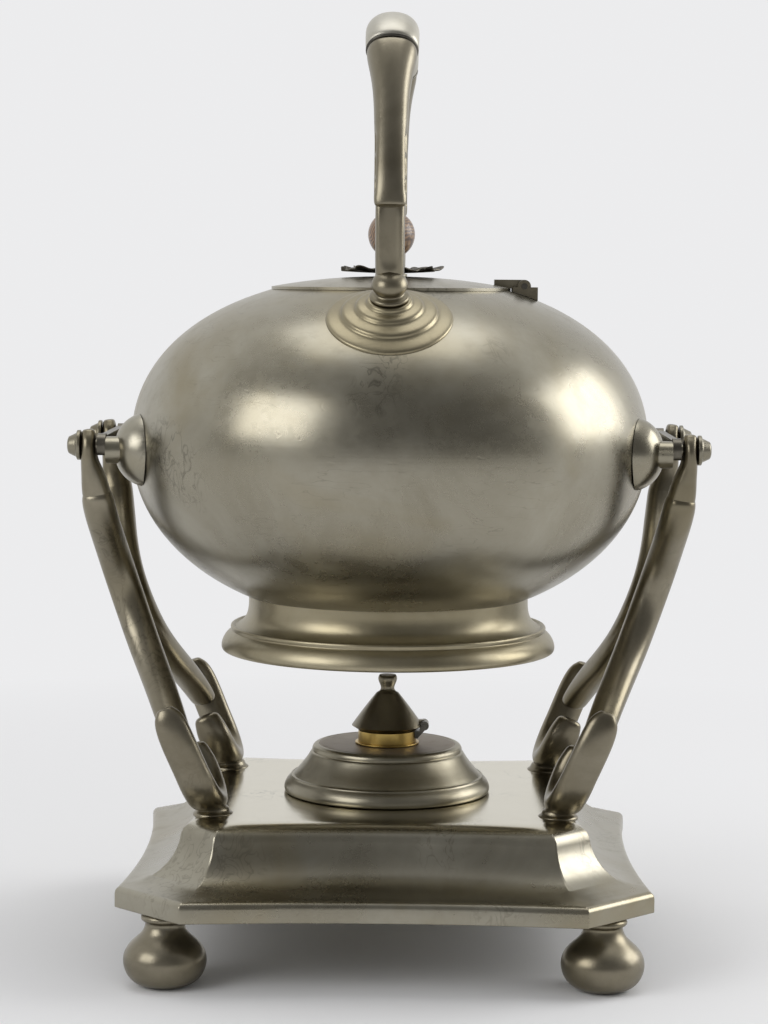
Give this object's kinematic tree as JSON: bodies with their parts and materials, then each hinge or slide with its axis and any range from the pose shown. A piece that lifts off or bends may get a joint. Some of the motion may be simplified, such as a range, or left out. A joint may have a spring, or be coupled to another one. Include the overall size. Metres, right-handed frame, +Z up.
{
  "type": "spirit kettle on stand",
  "caption": "Globular pewter kettle with a hinged lid and bail handle, tilting on pins in a footed stand over a small spirit burner with a hinged snuffer.",
  "frame": {"origin": "middle of the stand's plan, on the table plane under the feet", "axes": "+Z up, +Y towards the spout, -Y towards the end with the open notches, +X towards the lid's hinge"},
  "size_m": [0.2542, 0.2702, 0.3757],
  "materials": {
    "pewter": "aged satin pewter, warm grey, finely scratched",
    "dark_pewter": "darker aged pewter",
    "grip_metal": "light grey metal, rubbed bright by the hand",
    "brass": "dull brass",
    "blackened_metal": "blackened by soot and age",
    "turned_wood": "turned wood with brown and grey bands",
    "wick_cotton": "twisted cotton"
  },
  "bodies": {
    "stand": {"base_shell": "dark_pewter", "bun_foot_near_left": "dark_pewter", "bun_foot_near_right": "dark_pewter", "bun_foot_far_left": "dark_pewter", "bun_foot_far_right": "dark_pewter", "upright_near_left": "dark_pewter", "upright_near_right": "dark_pewter", "upright_far_left": "dark_pewter", "upright_far_right": "dark_pewter", "pivot_pin_left": "dark_pewter", "pivot_pin_right": "dark_pewter", "prop_pin_left": "dark_pewter", "prop_pin_right": "dark_pewter"},
    "kettle": {"kettle_belly_near": "pewter", "kettle_belly_far": "pewter", "kettle_shoulder_near": "pewter", "kettle_shoulder_far": "pewter", "foot_ring": "pewter", "dome_near_left": "pewter", "dome_near_right": "pewter", "dome_far_left": "pewter", "dome_far_right": "pewter", "crossbar_left": "dark_pewter", "crossbar_right": "dark_pewter", "handle_socket_near": "pewter", "handle_socket_far": "pewter", "handle_arm_near": "pewter", "handle_arm_far": "pewter", "grip": "grip_metal", "grip_band_near": "blackened_metal", "grip_band_far": "blackened_metal", "spout": "pewter", "spout_collar": "pewter", "body_leaf": "pewter", "hinge_pin": "blackened_metal"},
    "lid": {"lid_shell": "pewter", "lid_bezel": "pewter", "lid_leaf": "pewter", "rosette": "blackened_metal", "lid_knob": "turned_wood", "knob_stud": "brass", "knob_nut": "brass"},
    "burner": {"burner_font": "dark_pewter", "font_top": "dark_pewter", "font_base": "dark_pewter", "wick_collar": "brass", "wick_tube": "brass", "wick": "wick_cotton", "snuffer_ears": "blackened_metal", "snuffer_pin": "blackened_metal"},
    "snuffer": {"snuffer_cap": "blackened_metal"}
  },
  "joints": [
    {"name": "kettle_tilt", "type": "hinge", "parent": "stand", "child": "kettle", "pos_m": [0, 0.036, 0.204], "axis": [-1, 0, 0], "range_deg": [0, 50]},
    {"name": "lid_hinge", "type": "hinge", "parent": "kettle", "child": "lid", "pos_m": [0.0538, 0, 0.26781], "axis": [0, 1, 0], "range_deg": [0, 95]},
    {"name": "burner_slide", "type": "slide", "parent": "stand", "child": "burner", "axis": [0, -1, 0], "range_m": [0, 0.06]},
    {"name": "snuffer_hinge", "type": "hinge", "parent": "burner", "child": "snuffer", "pos_m": [0.0152, 0, 0.0876], "axis": [0, 1, 0], "range_deg": [0, 105]}
  ]
}
